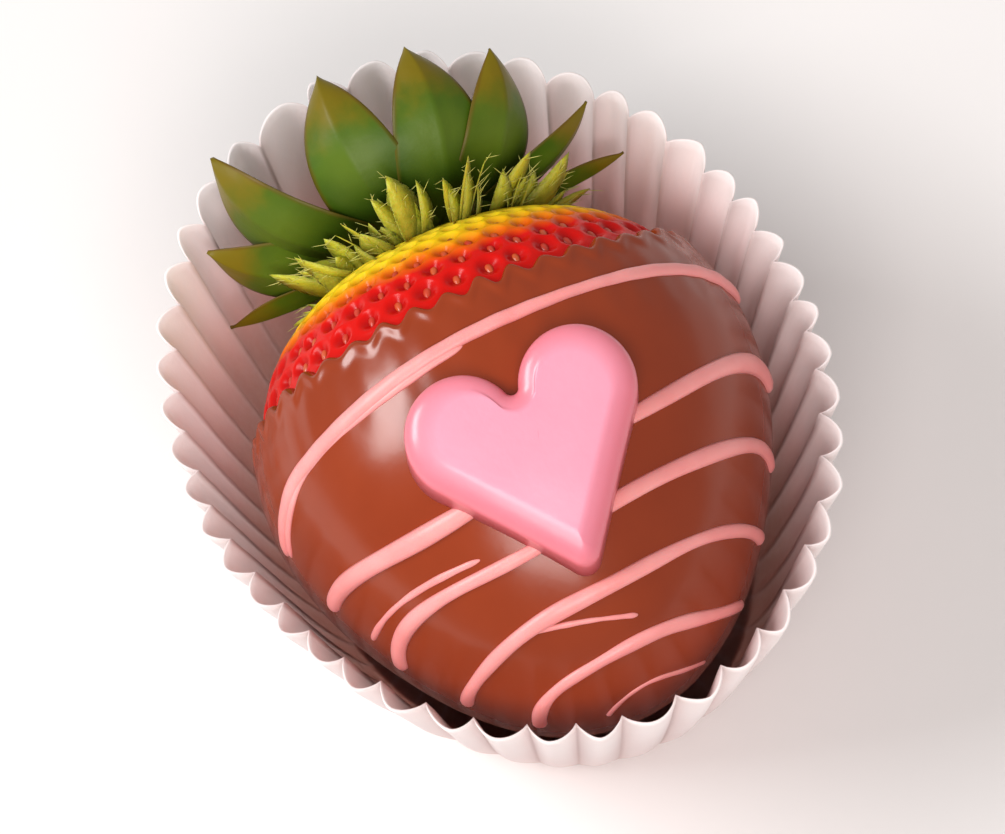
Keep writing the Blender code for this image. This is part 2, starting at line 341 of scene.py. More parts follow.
def build_strawberry():
    turns = np.concatenate([np.arange(*rows) for rows in SKIN_ROWS])
    around = np.arange(0, 360, 360 / SKIN_COLUMNS)
    turn, around = np.meshgrid(turns, around, indexing="ij")
    skin = on_berry(turn, around)
    stands, pit = skin_depth(skin.reshape(-1, 3), (turn - dip_angle(around)).ravel())
    skin += straight_out(turn, around) * stands.reshape(turn.shape)[..., None]
    points, faces = closed_rings(skin, on_berry(0, 0)[0], on_berry(180, 0)[0])
    numbers = {"pit": [*pit, 0, 0], "along": points[:, 1]}
    return make_piece("strawberry_skin", (points, faces), strawberry_finish(), **numbers)


RED = (0.66, 0.006, 0.003)
ORANGE = (0.86, 0.17, 0.003)
YELLOW = (0.96, 0.66, 0.012)
PALE_YELLOW = (0.95, 0.70, 0.035)
RIPENESS = ((0.0, RED), (0.10, RED), (0.36, ORANGE), (0.72, YELLOW), (0.96, PALE_YELLOW))
RIPE_TO = 10.9 * MM  # along the strawberry
PALE_FROM = 16.2 * MM
RIPENESS_BLOTCH = 4 * MM
RIPENESS_WANDER = 2 * MM
# The pits are darkened towards this red as painted shade, less where the skin is pale.
PIT_SHADOW_RED = (0.32, 0.002, 0.004)
PIT_SHADOW_SHARE = 0.75
PALE_PIT = 0.75  # how much of that is gone where the skin is pale


def strawberry_finish():
    settings = {
        "Roughness": 0.25,
        "Specular IOR Level": 0.14,
        "Coat Weight": 0.05,
        "Coat Roughness": 0.1,
        "Subsurface Weight": 0.2,
        "Subsurface Radius": (1.0, 0.3, 0.12),
        "Subsurface Scale": 1.5 * MM,
    }
    finish = Finish("strawberry_skin", settings)
    ripeness = finish.number("along") + (finish.grain(RIPENESS_BLOTCH) - 0.5) * RIPENESS_WANDER
    sockets = {"Value": ripeness, "From Min": RIPE_TO, "From Max": PALE_FROM}
    shade = finish.node("ShaderNodeMapRange", sockets=sockets)
    colour = finish.node("ShaderNodeValToRGB", {"stops": RIPENESS}, {"Fac": shade})
    # Painted shade in the seed pits.
    deep = finish.number("pit") * (1 - PALE_PIT * shade) * PIT_SHADOW_SHARE
    finish.feed("Base Color", finish.blend(deep, colour, PIT_SHADOW_RED))
    finish.relief(finish.grain(0.35 * MM), 0.02 * MM, 0.5)
    return finish


strawberry = build_strawberry()
lay_down(strawberry)
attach(strawberry, "root")
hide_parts("strawberry_flesh")

# ---- Seeds
# Flat drop-shaped seeds, one in each pit of the bare skin, with the pointed end towards the tip. They are
# hard and a little shiny, red where the berry is ripe and greenish brown near the leaves.

SEED_LENGTH = 1.25 * MM
SEED_WIDTH = 0.85 * MM
SEED_HEIGHT = 0.6 * MM
SEED_SUNK = 0.42 * MM
SEED_TWIST = 12  # degrees, at most
SEED_RED = ((0.55, 0.03, 0.012), (0.62, 0.10, 0.02))
SEED_BROWN = ((0.22, 0.10, 0.01), (0.45, 0.25, 0.02))
RED_SEEDS_TO = 12.5 * MM  # along the strawberry
BROWN_SEEDS_FROM = 15 * MM


def drop(rings=7, sides=10):
    """A drop of length, width and height 1, with its point towards -Y."""
    angles = np.arange(sides) * 2 * math.pi / sides
    levels = []
    for step in range(1, rings):
        turn = math.pi * step / rings
        along = -math.cos(turn) / 2
        reach = math.sin(turn) / 2 * (0.8 + 0.5 * along)  # slimmer towards its point
        levels.append([(reach * math.cos(a), along, reach * math.sin(a)) for a in angles])
    return closed_rings(levels, (0, -0.56, 0), (0, 0.5, 0))


def build_seeds():
    points, faces = drop()
    out = straight_out(seeds[:, 0], seeds[:, 1])
    chance = random.Random(9)
    parts, tones = [], []
    for at, up, size in zip(seed_points, out, seeds[:, 2]):
        side = np.cross((0, 1, 0), up)
        side /= np.linalg.norm(side)
        along = np.cross(up, side)
        twist = math.radians(chance.uniform(-SEED_TWIST, SEED_TWIST))
        across = math.cos(twist) * side + math.sin(twist) * along
        lengthwise = math.cos(twist) * along - math.sin(twist) * side
        scaled = points * (SEED_WIDTH, SEED_LENGTH, SEED_HEIGHT) * size
        placed = scaled[:, :1] * across + scaled[:, 1:2] * lengthwise + scaled[:, 2:] * up
        parts.append((at - up * SEED_SUNK * size + placed, faces))
        tones += [chance.random()] * len(points)
    skin = joined(parts)
    return make_piece("seeds", skin, seed_finish(), tone=tones, along=skin[0][:, 1])


def seed_finish():
    finish = Finish("seeds", {"Roughness": 0.3, "Coat Weight": 0.3})
    near_leaves = finish.rise(finish.number("along"), RED_SEEDS_TO, BROWN_SEEDS_FROM)
    ripe = finish.blend(finish.number("tone"), *SEED_RED)
    young = finish.blend(finish.number("tone"), *SEED_BROWN)
    finish.feed("Base Color", finish.blend(near_leaves, ripe, young))
    finish.relief(finish.grain(0.2 * MM, stretch=(1, 0.3, 1)), 0.02 * MM)
    return finish


seed_piece = build_seeds()
lay_down(seed_piece)
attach(seed_piece, "root")

# ---- Bracts
# A frill of small pale leaflets between the berry and its leaves. Each is split into three points and
# carries fine stiff hairs. They grow from the rim of the hollow, and bend away from the berry.

BRACTS = 15
# One row for each ring of them: how many, their length as a share of the whole, how far they are staggered
# as a share of their spacing, and how far towards the leaves their roots are moved.
BRACT_RINGS = ((BRACTS, 1.0, 0.0, 0.0), (BRACTS - 2, 0.78, 0.5, -0.6 * MM))
BRACT_ROOT = 8.6 * MM  # radius of the ring that they grow from
BRACT_ROOT_Y = 16.55 * MM
BRACT_SHIFT = 0.22  # share of their spacing, at most
BRACT_LENGTH = 5.9 * MM
BRACT_LENGTHS = (0.8, 1.12)
BRACT_WIDTH = 3.2 * MM
BRACT_WIDTHS = (0.85, 1.1)
PALE_SOONER = (0.6, 1.2)
BRACT_THICKNESS = 0.22 * MM
BRACT_TWIST = 45.0  # degrees, at most
BRACT_BOW = (-0.7, 0.3)  # millimetres
BRACT_RISE = 3.6 * MM  # towards the leaves, from root to tip, on the upper side
LOWER_RISE = 0.35  # on the lower side, as a share of that
RISE_SCATTER = 0.9  # millimetres
POINT_SCATTER = 0.7
POINT_SPREAD = 19.0  # degrees between the points of one bract
POINT_SPREADS = (0.75, 1.15)
POINT_ROOTS = 4  # degrees between their roots
SIDE_POINT_LENGTHS = (0.55, 0.85)  # as shares of the middle one's
SIDE_POINT_WIDTH = 0.7
HAIRS_PER_POINT = 7
HAIRS_FROM = 0.25  # of the way from the root to the tip
HAIR_SWEEP = (10, 60)  # degrees from the blade
HAIR_RISE = (-0.4, 0.5)  # towards the leaves, as a share of its length
HAIR_LENGTH = 1.3 * MM
HAIR_LENGTHS = (0.5, 1.4)
HAIR_THICKNESS = 0.09 * MM
STEMWARD = np.array([0.0, 1.0, 0.0])


def polar(radius, around, y):
    """A point of the strawberry's own frame, by its distance from the axis and its angle round it."""
    angle = math.radians(around)
    return np.array([radius * math.cos(angle), y, radius * math.sin(angle)])


def on_blade(root, tip, bow, way):
    """A point part of the way from root to tip, on a line that is pushed aside by bow at its middle."""
    return root + (tip - root) * way + bow * 4 * way * (1 - way)


def spike(root, tip, bow, width, thickness, facing, steps=7):
    """A flat pointed blade along such a line. facing is the direction across its flat."""
    side = np.cross(tip - root, facing)
    side /= np.linalg.norm(side)
    rings = []
    for step in range(steps):
        way = step / steps
        wide = width / 2 * (0.75 + 1.3 * way) * (1 - way**1.6)  # widest a third of the way out
        thick = thickness / 2 * (1 - 0.6 * way)
        corners = (side * wide, facing * thick, -side * wide, -facing * thick)
        rings.append([on_blade(root, tip, bow, way) + corner for corner in corners])
    return closed_rings(rings, end=tip)


def bract_hair(chance, root, tip, bow, lean):
    """A fine hair that stands off the blade from root to tip. lean is the blade's angle round the axis."""
    start = on_blade(root, tip, bow, chance.uniform(HAIRS_FROM, 1))
    swept = lean + chance.choice((-1, 1)) * chance.uniform(*HAIR_SWEEP)
    aim = polar(1, swept, chance.uniform(*HAIR_RISE))
    end = start + aim * HAIR_LENGTH * chance.uniform(*HAIR_LENGTHS)
    return spike(start, end, np.zeros(3), HAIR_THICKNESS, HAIR_THICKNESS, STEMWARD, steps=3)


def split_bract(chance, around, length, rise, root_y):
    """The blades of one bract, how far from its root their points lie, and its hairs."""
    twist = math.radians(chance.uniform(-BRACT_TWIST, BRACT_TWIST))
    facing = STEMWARD * math.cos(twist) + polar(1, around + 90, 0) * math.sin(twist)
    blades, reaches, hairs = [], [], []
    for place in (-1, 0, 1):
        lean = around + place * POINT_SPREAD * chance.uniform(*POINT_SPREADS)
        own_length = length * (1 if place == 0 else chance.uniform(*SIDE_POINT_LENGTHS))
        own_rise = rise + chance.uniform(-POINT_SCATTER, POINT_SCATTER) * MM
        root = polar(BRACT_ROOT, around + POINT_ROOTS * place, root_y)
        tip = root + polar(1, lean, 0) * own_length + STEMWARD * own_rise
        bow = facing * chance.uniform(*BRACT_BOW) * MM
        wide = BRACT_WIDTH * (1 if place == 0 else SIDE_POINT_WIDTH) * chance.uniform(*BRACT_WIDTHS)
        blades.append(spike(root, tip, bow, wide, BRACT_THICKNESS, facing))
        away = np.linalg.norm(blades[-1][0] - root, axis=1)
        reaches += (away * chance.uniform(*PALE_SOONER)).tolist()
        for _ in range(HAIRS_PER_POINT):
            hairs.append(bract_hair(chance, root, tip, bow, lean))
    return blades, reaches, hairs


def build_bracts():
    chance = random.Random(21)
    blades, reaches, hairs = [], [], []
    for count, share, stagger, back in BRACT_RINGS:
        for number in range(count):
            around = 360 * (number + stagger + chance.uniform(-BRACT_SHIFT, BRACT_SHIFT)) / count
            length = BRACT_LENGTH * share * chance.uniform(*BRACT_LENGTHS)
            upper = max(math.sin(math.radians(around)), 0)
            rise = BRACT_RISE * (LOWER_RISE + (1 - LOWER_RISE) * upper)
            rise += chance.uniform(-RISE_SCATTER, RISE_SCATTER) * MM
            own = split_bract(chance, around, length, rise, BRACT_ROOT_Y + back)
            blades += own[0]
            reaches += own[1]
            hairs += own[2]
    bracts = make_piece("bracts_green", joined(blades), bract_finish(), reach=reaches)
    return bracts, make_piece("bract_hairs", joined(hairs), hair_finish())


# The darker green at each blade's root is painted shade, where the bracts sit under the leaves.
BRACT_ROOT_SHADOW_GREEN = (0.10, 0.13, 0.004)
BRACT_GREEN = (0.52, 0.50, 0.014)
BRACT_PALE_GREEN = (0.62, 0.58, 0.08)
BRACT_ROOT_SHADOW_TO = 0.6 * MM  # from its root
BRACT_GREEN_FROM = 4.0 * MM
HAIR_COLOURS = ((0.40, 0.42, 0.04), (0.72, 0.70, 0.25))


def bract_finish():
    settings = {"Roughness": 0.5, "Subsurface Weight": 0.2, "Subsurface Scale": 1 * MM}
    finish = Finish("bract_green", settings)
    reach = finish.number("reach") + (finish.grain(1.5 * MM) - 0.5) * (2 * MM)
    # Painted shade towards each blade's root.
    outer = finish.rise(reach, BRACT_ROOT_SHADOW_TO, BRACT_GREEN_FROM)
    colour = finish.blend(outer, BRACT_ROOT_SHADOW_GREEN, BRACT_GREEN)
    finish.feed("Base Color", finish.blend(finish.grain(0.6 * MM) * 0.5, colour, BRACT_PALE_GREEN))
    finish.relief(finish.grain(0.35 * MM), 0.1 * MM)
    return finish


def hair_finish():
    finish = Finish("bract_hair", {"Roughness": 0.45})
    finish.feed("Base Color", finish.blend(finish.grain(1 * MM), *HAIR_COLOURS))
    finish.relief(finish.grain(0.2 * MM), 0.01 * MM)
    return finish


bracts, bract_hairs = build_bracts()
for piece in (bracts, bract_hairs):
    lay_down(piece)
    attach(piece, "root")
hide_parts("bracts")

# ---- Leaves
# The berry's own leaves, grown from one hub round the trimmed stem and bent back from the fruit. Each is
# cupped along a sunk midrib, with dry brown edges. Painted shade darkens each root, most on the side
# towards the fruit, and a paler painted sheen lies on its middle.

HUB_RADIUS = 6.5 * MM
HUB_Y = 18.6 * MM
HUB_THICKNESS = 1.0 * MM
HUB_PROFILE = ((0.8, 0), (1, 0.3), (1, 0.7), (0.7, 1.0))  # shares of its radius and its thickness
HUB_SIDES = 28
HUB_UNEVEN = 0.05
STEM_RADIUS = 1.3 * MM
STEM_LENGTH = 3.0 * MM
STEM_STEPS = 5
STEM_TAPER = 0.05  # from each step to the next
LEAF_ROOT_RADIUS = 4.0 * MM
LEAF_THICKNESS = 0.5 * MM
LEAF_STAGGER = 0.13 * MM
LEAF_WIDEST = 0.4  # of the way from root to tip
LEAF_CUP = 0.12  # how far the middle is sunk, as a share of the half-width
LEAF_FOLD = 0.30  # how far the midrib is sunk below that
FOLD_ROUND = 0.01
MIDRIB_DEPTH = 0.22 * MM
MIDRIB_BREADTH = 0.1  # of the half-width
ROLLED_FROM = 0.3  # of the way from root to tip
RIPPLES = 9  # radians from root to tip
RIPPLE = (0.1, 0.28)  # millimetres
LEAF_ROWS = 44
LEAF_COLUMNS = 25
# One row for each leaf: its angle round the stem in degrees, from the strawberry's right side over the top,
# its length and width in millimetres, how far it has bent back from the berry at its tip, and how far it is
# rolled round its own length, both in degrees.
LEAVES = (
    (2, 14.3, 4.6, 6, 0),
    (23, 14.5, 5.6, 32, 0),
    (48, 16.2, 7.8, 84, 0),
    (75, 18.0, 8.4, 110, 0),
    (110, 18.5, 8.4, 112, 0),
    (152, 18.5, 9.4, 80, 0),
    (174, 15.6, 8.2, 43, 18),
    (193, 14.8, 5.2, 4, 0),
    (222, 13.0, 6.0, 30, 0),
    (254, 12.5, 6.2, 50, 0),
    (288, 12.5, 6.2, 50, 0),
    (325, 11.8, 6.0, 34, 0),
)


def leaf_width(way):
    """The leaf's half-width as a share of its widest: a broad root, then a pointed arch."""
    root = np.sin(math.pi * (0.2 + 0.75 * way)) ** 0.8
    arch = 1 - (np.maximum(way - LEAF_WIDEST, 0) / (1 - LEAF_WIDEST)) ** 2.3
    return np.where(way < LEAF_WIDEST, root, np.maximum(arch, 0.015))


def build_leaf(number):
    """One leaf, and numbers for its points: the way from its root to its tip, the way from its midrib to
    its edge, and whether they are on its rear, away from the fruit."""
    around, length, width, bend, roll = LEAVES[number]
    chance = random.Random(100 + number)
    phase, ripple = chance.uniform(0, 6), chance.uniform(*RIPPLE) * MM
    angle_at_tip = math.radians(bend)
    root_y = HUB_Y + HUB_THICKNESS / 2 + (number % 3 - 1) * LEAF_STAGGER
    radial = polar(1, around, 0)
    side = np.cross(radial, STEMWARD)
    across = np.concatenate([np.linspace(-1, 1, LEAF_COLUMNS), np.linspace(1, -1, LEAF_COLUMNS)])
    face = np.repeat([1.0, -1.0], LEAF_COLUMNS)
    cup = LEAF_CUP * (1 - across**2) + LEAF_FOLD * (1 - np.sqrt(across**2 + FOLD_ROUND))
    rings, ways, edges, rears = [], [], [], []
    for way in np.linspace(0, 1, LEAF_ROWS):
        angle = angle_at_tip * way
        middle = radial * (LEAF_ROOT_RADIUS + length * MM * math.sin(angle) / angle_at_tip)
        middle = middle + STEMWARD * (root_y + length * MM * (1 - math.cos(angle)) / angle_at_tip)
        bent = STEMWARD * math.cos(angle) - radial * math.sin(angle)
        rolled = math.radians(roll) * min(way / ROLLED_FROM, 1)
        sideways = side * math.cos(rolled) - bent * math.sin(rolled)
        facing = bent * math.cos(rolled) + side * math.sin(rolled)
        half_width = width * MM / 2 * float(leaf_width(way))
        crease = MIDRIB_DEPTH * np.exp(-((across / MIDRIB_BREADTH) ** 2)) * (1 - way)
        wave = ripple * across**2 * math.sin(RIPPLES * way + phase) * way
        thick = LEAF_THICKNESS / 2 * (1 - 0.5 * way) * (1 - 0.75 * across**2)
        lift = face * thick - half_width * way * cup + face * crease + wave
        rings.append(middle + sideways * (half_width * across)[:, None] + facing * lift[:, None])
        ways += [way] * len(across)
        edges += np.abs(across).tolist()
        rears += (face > 0).tolist()
    return closed_rings(rings), {"way": [*ways, 0, 1], "edge": [*edges, 0, 0], "rear": [*rears, 1, 0.5]}


def hub_and_stem():
    """The hub that the leaves grow from, and the cut stem that stands on it, both a little out of round."""
    levels = [(HUB_RADIUS * part, HUB_Y + share * HUB_THICKNESS) for part, share in HUB_PROFILE]
    levels.append((STEM_RADIUS * 1.5, HUB_Y + 1.15 * HUB_THICKNESS))
    for step in range(STEM_STEPS):
        y = HUB_Y + HUB_THICKNESS + STEM_LENGTH * (step + 1) / STEM_STEPS
        levels.append((STEM_RADIUS * (1 - STEM_TAPER * step), y))
    rings = []
    for radius, y in levels:
        ring = []
        for angle in np.arange(HUB_SIDES) * math.tau / HUB_SIDES:
            uneven = 1 + HUB_UNEVEN * math.sin(3 * angle + y / MM)
            ring.append(polar(radius * uneven, math.degrees(angle), y))
        rings.append(ring)
    return closed_rings(rings)


def build_leaves():
    parts = []
    numbers = {"way": [], "edge": [], "rear": [], "tone": []}
    for number in range(len(LEAVES)):
        skin, own = build_leaf(number)
        parts.append(skin)
        own["tone"] = [random.Random(number).random()] * len(skin[0])
        for name, values in own.items():
            numbers[name] += values
    parts.append(hub_and_stem())
    for name, value in {"way": 0.25, "edge": 0, "rear": 1, "tone": 0.5}.items():
        numbers[name] += [value] * len(parts[-1][0])
    return make_piece("leaves_green", joined(parts), leaf_finish(), **numbers)


LEAF_DEEP_GREEN = (0.026, 0.078, 0.003)
LEAF_GREEN = (0.072, 0.145, 0.006)
LEAF_YELLOW_GREEN = (0.11, 0.15, 0.005)
# Painted shade at the leaf roots.
LEAF_ROOT_SHADOW_GREEN = (0.014, 0.035, 0.0015)
# A paler painted sheen on the middle of each leaf.
SHEEN_GREEN = (0.12, 0.185, 0.014)
DRY_TIP = (0.17, 0.125, 0.003)
DRY_EDGE = (0.12, 0.06, 0.004)
# Over which part of the way from root to tip, or from midrib to edge, each of those comes in or goes.
ROOT_SHADOW_GOES = (0.18, 0.6)
SHEEN_COMES = (0.3, 0.58)
SHEEN_GOES = (0.55, 0.8)
SHEEN_ENDS = (0.3, 1.0)
TIP_COMES = (0.64, 0.86)
EDGE_COMES = (0.93, 1.08)
VEINS = 11  # from root to tip
VEIN_SWEEP = 2.2


def leaf_finish():
    finish = Finish("leaf_green", {"Roughness": 0.42, "Specular IOR Level": 0.22})
    way, edge, tone = (finish.number(name) for name in ("way", "edge", "tone"))
    mottle = finish.grain(2.5 * MM, 4)
    uneven = mottle - 0.5
    green = finish.blend(mottle, LEAF_DEEP_GREEN, LEAF_GREEN)
    green = finish.blend(tone * 0.4, green, LEAF_YELLOW_GREEN)
    # Painted shade at each root, weaker on the rear, away from the fruit.
    root = (1 - finish.rise(way, *ROOT_SHADOW_GOES)) * (1 - finish.number("rear") * 0.7)
    green = finish.blend(root, green, LEAF_ROOT_SHADOW_GREEN)
    # Painted sheen on the middle of each leaf, away from its edge.
    inner = 1 - finish.rise(edge, *SHEEN_ENDS)
    painted_sheen = finish.rise(way, *SHEEN_COMES) * (1 - finish.rise(way, *SHEEN_GOES)) * inner
    green = finish.blend(painted_sheen * 0.5, green, SHEEN_GREEN)
    green = finish.blend(finish.rise(way + uneven * 0.25, *TIP_COMES), green, DRY_TIP)
    dry = finish.rise(edge + way * 0.12 + uneven * 0.1, *EDGE_COMES)
    finish.feed("Base Color", finish.blend(dry * 0.7, green, DRY_EDGE))
    course = (way * VEINS - edge * VEIN_SWEEP) * math.pi
    veins = finish.node("ShaderNodeMath", {"operation": "SINE"}, {0: course}) * 0.15
    finish.relief(mottle + veins * edge, 0.15 * MM, 0.6)
    return finish


leaves = build_leaves()
lay_down(leaves)
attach(leaves, "root")
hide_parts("leaves")

# ---- Chocolate coat
# Milk chocolate that the berry was dipped into, tip first, up to the bare band below the leaves. It set to
# a smooth, gently uneven shell with a thick round lip, which runs up between the seeds.

COAT_THICKNESS = 1.3 * MM
COAT_LIP = 0.85 * MM  # thickness just behind the lip
COAT_THINS_OVER = 8 * MM  # the length over which it goes from one to the other
COAT_BEAD = 0.24 * MM  # how far the lip stands above that
BEAD_AT = 0.8 * MM  # from the edge
BEAD_BREADTH = 0.8 * MM
LIP_ROUND = 0.7 * MM  # the length over which the edge rounds down to the skin
SKIN_GAP = 0.05 * MM  # between the chocolate and the puffed skin
DEGREE = 0.34 * MM  # the length of a degree of turn near the edge
COAT_UNEVEN = 0.11 * MM
UNEVEN_WAVES = ((1, 110), (0.35, 300))  # share and number of blotches to a metre
SCALLOP = 1.5  # degrees of turn
EDGE_WAVES = ((0.5, 5, 20), (0.4, 13, 80))  # share, number round the berry, and start in degrees
COAT_COLUMNS = 12 * SEEDS_AROUND
COAT_ROWS = ((0.03, 0.93, 76), (0.936, 1, 24))  # from and to a share of the way to the edge, and how many


def coat_edge(around):
    """The turn at which the chocolate ends: it runs up between the seeds, here more and there less. A seed
    of the first row stands at 0, where the edge is low."""
    around = np.asarray(around, float)
    uneven = sum(share * np.sin(np.radians(waves * around + start)) for share, waves, start in EDGE_WAVES)
    scallop = -np.cos(np.radians(SEEDS_AROUND * around)) * (1 + 0.5 * uneven)
    return dip_angle(around) + SCALLOP * scallop + 0.4 * uneven


def coat_thickness(turn, around, points):
    """The chocolate's thickness over the skin, with its lip, its bead and the unevenness of dipping."""
    back = (coat_edge(around) - turn) * DEGREE
    full = COAT_LIP + (COAT_THICKNESS - COAT_LIP) * np.clip(back / COAT_THINS_OVER, 0, 1) ** 0.8
    bead = COAT_BEAD * np.exp(-(((back - BEAD_AT) / BEAD_BREADTH) ** 2))
    rounded = np.sqrt(np.clip(1 - (1 - np.clip(back / LIP_ROUND, 0, 1)) ** 2, 0, 1))
    soft = []
    for at in points.reshape(-1, 3):
        soft.append(sum(share * noise.noise(Vector(at) * waves) for share, waves in UNEVEN_WAVES))
    return (full + bead + COAT_UNEVEN * np.array(soft).reshape(turn.shape)) * rounded


def build_coat():
    around = np.arange(0, 360, 360 / COAT_COLUMNS)
    shares = np.concatenate([np.linspace(*rows) for rows in COAT_ROWS])
    turn = shares[:, None] * coat_edge(around)[None, :]
    around = np.broadcast_to(around, turn.shape)
    skin = on_berry(turn, around)
    outer = on_berry(turn, around, coat_thickness(turn, around, skin) + SKIN_GAP)
    inner = on_berry(turn[::3], around[::3], SKIN_GAP)[::-1]
    tip_out, tip_in = on_berry(0, 0, COAT_THICKNESS)[0], on_berry(0, 0, SKIN_GAP)[0]
    shell = closed_rings([*outer, *inner], tip_out, tip_in)
    return make_piece("milk_chocolate_coat", shell, chocolate_finish())


CHOCOLATE = ((0.235, 0.0275, 0.003), (0.30, 0.0395, 0.005))


def chocolate_finish():
    finish = Finish("milk_chocolate", {"Specular IOR Level": 0.5})
    cloud = finish.grain(7 * MM, 3)
    speck = finish.grain(0.6 * MM)
    finish.feed("Base Color", finish.blend(cloud, *CHOCOLATE))
    finish.feed("Roughness", 0.21 + (cloud - 0.5) * 0.12 + (speck - 0.5) * 0.04)
    finish.relief(speck, 0.012 * MM, 0.4)
    return finish


coat = build_coat()
lay_down(coat)
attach(coat, "root")
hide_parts("chocolate_coat")

# ---- Drizzle
# Pink candy melt, trickled from a spoon in one zigzag over the set chocolate, so that its lines cross the
# berry side by side. Each stands up half round, swells where it slowed down, and runs a way down the sides.

DRIZZLE_SINK = 0.04 * MM
DRIZZLE_SIDES = 12
DRIZZLE_END = 4  # degrees of angle round the berry over which an end is rounded
DRIZZLE_ABOVE, DRIZZLE_BELOW = 0.75, 0.25  # heights above and below its middle, as shares of its half-width
WOBBLE = 0.35  # degrees of turn
WOBBLE_LENGTH = 11  # degrees of angle round the berry
SWELLS = ((0.14, 9, 1), (0.05, 31, 2))  # share of the width, how often, and how far its own start moves it
PLACES_AROUND = (180, 135, 90, 45, 0)
# One row for each line: the turns at which it crosses those places, from the left side over the top to the
# right side, its width in millimetres, and the angles round the berry at which it starts and ends.
DRIZZLE = (
    ((80, 93.5, 100, 103, 97), 1.35, 174, 6),
    ((79, 91.6, 98.6, 103, 98), 0.7, 172, 97),
    ((69, 69, 70, 78, 78), 1.6, 173, 4),
    ((61, 60.5, 59, 58, 57), 0.6, 170, 116),
    ((52, 57, 58, 64.5, 63), 1.4, 174, 3),
    ((38, 41.5, 44.5, 49, 51), 1.4, 173, 5),
    ((48, 45, 38, 35, 34), 0.5, 118, 76),
    ((22, 26, 29, 32, 37.5), 1.25, 170, 2),
    ((4, 8.5, 14, 18, 23), 0.5, 128, 8),
)


def strand(turns, width, start, end, seed):
    """A flat half-round line over the coat, with round ends, which swells and thins a little on its way."""
    phase = random.Random(seed).uniform(0, 6)
    course = np.polynomial.Polynomial.fit(PLACES_AROUND, turns, len(turns) - 1)
    steps = max(30, round(abs(end - start)))
    way = (1 - np.cos(np.linspace(0.04, math.pi - 0.04, steps))) / 2  # closer together at the ends
    around = start + (end - start) * way
    turn = course(around) + WOBBLE * np.sin(around / WOBBLE_LENGTH + phase)
    surface = coat_thickness(turn, around, on_berry(turn, around)) + SKIN_GAP
    middle = on_berry(turn, around, surface - DRIZZLE_SINK)
    out = straight_out(turn, around)
    side = np.cross(np.gradient(middle, axis=0), out)
    side /= np.linalg.norm(side, axis=1, keepdims=True)
    from_end = np.minimum(np.minimum(way, 1 - way) * abs(end - start) / DRIZZLE_END, 1)
    swell = sum(share * np.sin(often * way + moved * phase) for share, often, moved in SWELLS)
    wide = width * MM / 2 * (1 + swell) * np.sqrt(1 - (1 - from_end) ** 2)
    corners = np.arange(DRIZZLE_SIDES) * math.tau / DRIZZLE_SIDES
    lift = np.where(np.sin(corners) > 0, DRIZZLE_ABOVE, DRIZZLE_BELOW) * np.sin(corners)
    reach = np.cos(corners)[None, :, None] * side[:, None] + lift[None, :, None] * out[:, None]
    return closed_rings(middle[:, None] + wide[:, None, None] * reach)


def build_drizzle():
    parts = [strand(*row, seed=number) for number, row in enumerate(DRIZZLE)]
    return make_piece("pink_drizzle", joined(parts), drizzle_finish())


DRIZZLE_PINK = ((0.88, 0.27, 0.26), (0.98, 0.40, 0.38))


def drizzle_finish():
    settings = {
        "Roughness": 0.36,
        "Specular IOR Level": 0.4,
        "Subsurface Weight": 0.15,
        "Subsurface Scale": 1 * MM,
    }
    finish = Finish("drizzle_pink", settings)
    finish.feed("Base Color", finish.blend(finish.grain(3 * MM), *DRIZZLE_PINK))
    finish.relief(finish.grain(0.7 * MM), 0.05 * MM, 0.6)
    return finish


drizzle = build_drizzle()
lay_down(drizzle)
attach(drizzle, "root")

# ---- Candy heart
# A pink candy heart, cast in a mould with a flat face and rounded edges, and pressed onto the chocolate
# before it set. Its underside has taken the coat's curve.

LOBE_RADIUS = 4.95 * MM
LOBE_OFFSET = 5.2 * MM
NOTCH_RADIUS = 0.6 * MM
POINT_RADIUS = 1.5 * MM
POINT_DROP = 11.9 * MM
NOTCH_STEPS, LOBE_STEPS, SIDE_STEPS, POINT_STEPS = 8, 44, 16, 10
HEART_MIDDLE = -0.3 * POINT_DROP  # from the line through its lobes
HEART_THICKNESS = 2.0 * MM
HEART_ROUND = 1.5 * MM  # how far the rounded edge drops
HEART_PILLOW = 2.7 * MM  # how far in from the edge it starts to drop
TRUE_INSET = 0.95 * POINT_RADIUS  # as far in as that, the outline runs parallel to its edge
HEART_SHRINK = 9.0 * MM  # beyond that it shrinks to its middle, which is this much further in
HEART_AT = (-0.4 * MM, -4.8 * MM)
HEART_TILT = 15.0
HEART_TURN = 3.0
HEART_LIFT = 0.3 * MM  # what its middle stands above that thickness
HEART_SUNK = 0.1 * MM
HEART_DOME = 0.4 * MM
DOME_RADIUS = 10 * MM
HEART_UNEVEN = 0.07 * MM
HEART_BLOTCHES = 220  # to a metre
UNDER_RINGS = (0.2, 0.5, 0.8, 0.95)  # shares of the way out from the middle
EDGE_RINGS = 15
FACE_RINGS = (0.94, 0.85, 0.72, 0.58, 0.44, 0.3, 0.15)


def arc(centre, radius, start, end, steps):
    """Points along an arc between two angles in degrees, without the last one."""
    angles = np.radians(start + (end - start) * np.arange(steps) / steps)
    return np.array(centre) + radius * np.stack([np.cos(angles), np.sin(angles)], axis=-1)


